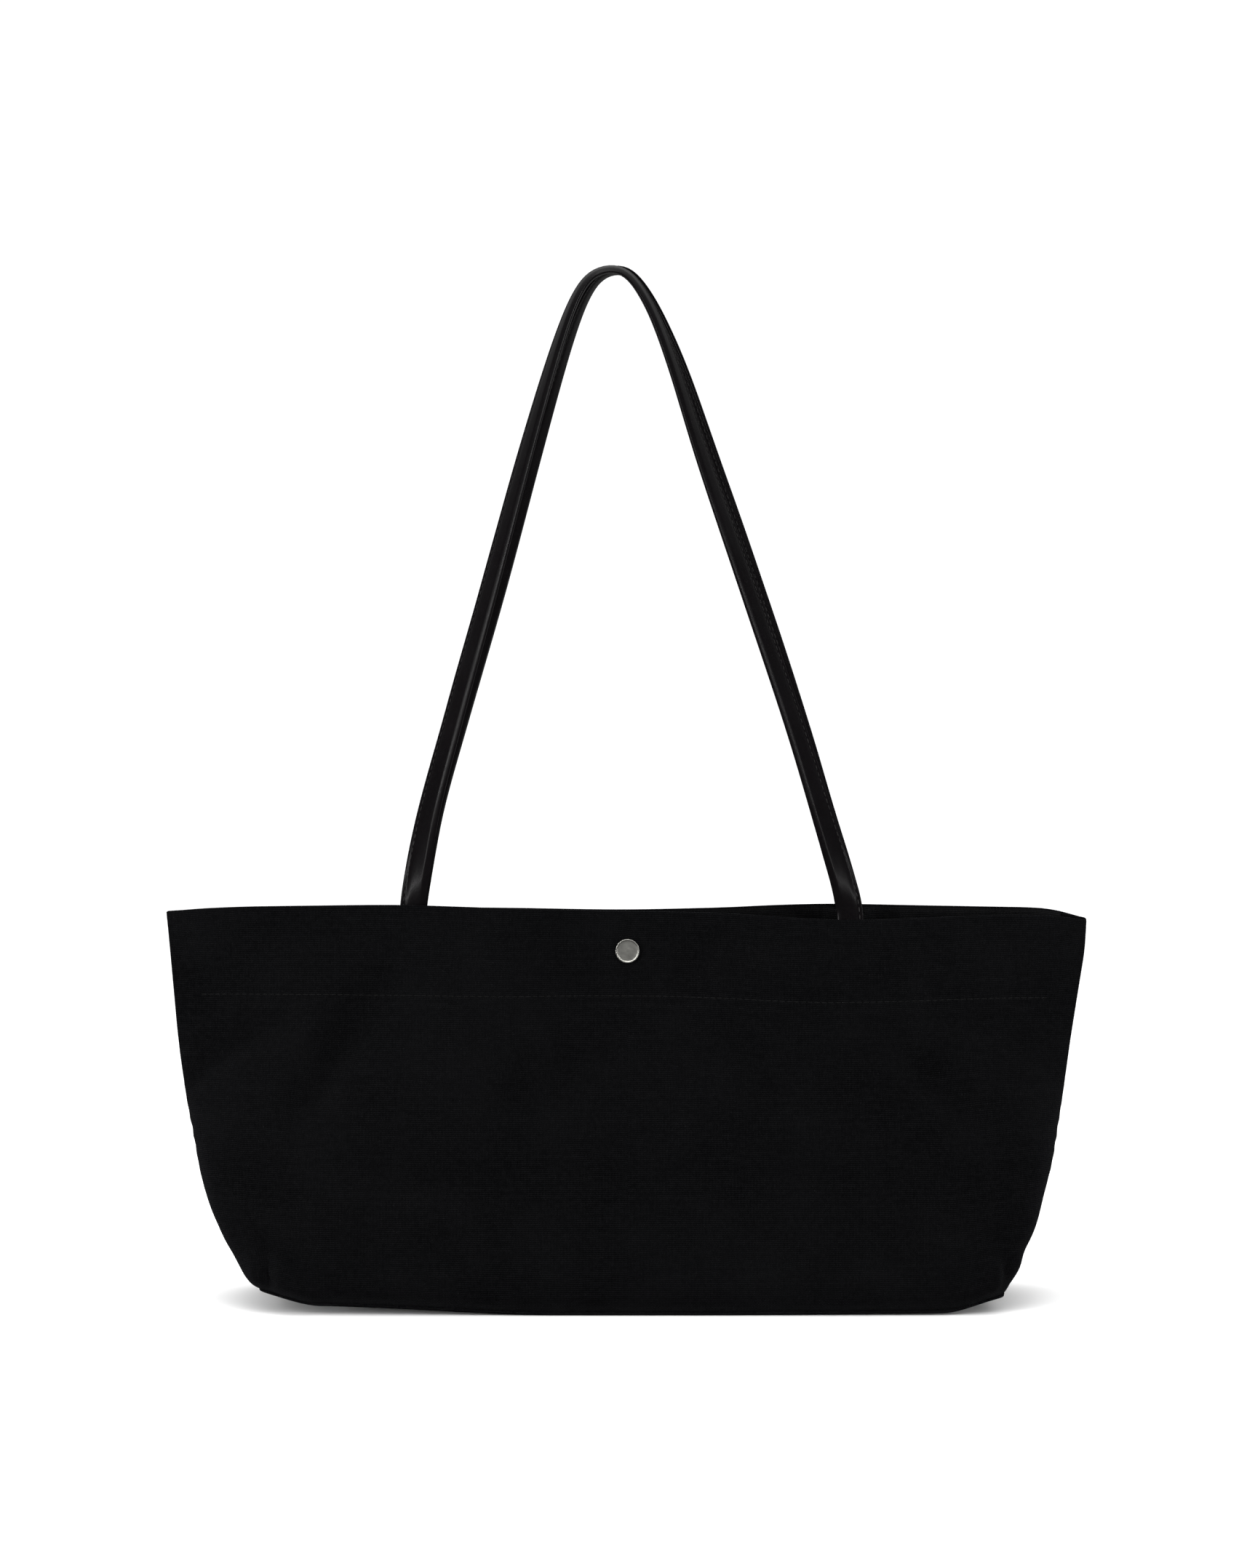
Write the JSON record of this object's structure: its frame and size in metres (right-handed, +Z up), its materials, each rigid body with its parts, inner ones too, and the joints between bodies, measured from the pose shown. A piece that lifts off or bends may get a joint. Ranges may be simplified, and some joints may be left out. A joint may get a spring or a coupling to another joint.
{
  "type": "tote bag",
  "caption": "Soft canvas tote bag with a boxed base, a press-stud closure at the rim and folded leather shoulder handles that swing.",
  "frame": {"origin": "on the ground, under the middle of the base", "axes": "+Z up through the rim and the handles, +X to the right along the base, +Y towards the back wall"},
  "size_m": [0.4602, 0.1006, 0.5232],
  "materials": {
    "canvas": "matte heavy cotton duck, black",
    "facing": "matte heavy cotton duck, black",
    "tape": "matte cotton tape, black",
    "leather": "smooth black leather, satin",
    "filler": "bonded leather board, plain",
    "nickel": "brushed grey nickel"
  },
  "bodies": {
    "base": {"base_panel": "canvas", "base_seam_binding": "tape", "left_side_binding": "tape", "right_side_binding": "tape"},
    "front_wall": {"front_panel": "canvas", "front_facing": "facing", "front_snap_patch": "tape", "snap_cap": "nickel", "snap_socket": "nickel", "snap_spring": "nickel", "front_handle_tab_left": "leather", "front_handle_tab_right": "leather"},
    "back_wall": {"back_panel": "canvas", "back_facing": "facing", "back_snap_patch": "tape", "snap_stud": "nickel", "snap_post": "nickel", "back_handle_tab_left": "leather", "back_handle_tab_right": "leather"},
    "front_handle": {"front_handle_strap": "leather", "front_handle_core": "filler"},
    "back_handle": {"back_handle_strap": "leather", "back_handle_core": "filler"}
  },
  "joints": [
    {"name": "front_wall_open", "type": "hinge", "parent": "base", "child": "front_wall", "pos_m": [0, -0.05, 0], "axis": [1, 0, 0], "range_deg": [0, 16]},
    {"name": "back_wall_open", "type": "hinge", "parent": "base", "child": "back_wall", "pos_m": [0, 0.05, 0], "axis": [-1, 0, 0], "range_deg": [0, 16]},
    {"name": "front_handle_swing", "type": "hinge", "parent": "front_wall", "child": "front_handle", "pos_m": [0, -0.01315, 0.199], "axis": [1, 0, 0], "range_deg": [0, 110], "stiffness_Nm_per_rad": 0.062, "springref_deg": 0.69},
    {"name": "back_handle_swing", "type": "hinge", "parent": "back_wall", "child": "back_handle", "pos_m": [0, 0.01315, 0.199], "axis": [-1, 0, 0], "range_deg": [0, 110], "stiffness_Nm_per_rad": 0.062, "springref_deg": 0.69}
  ]
}
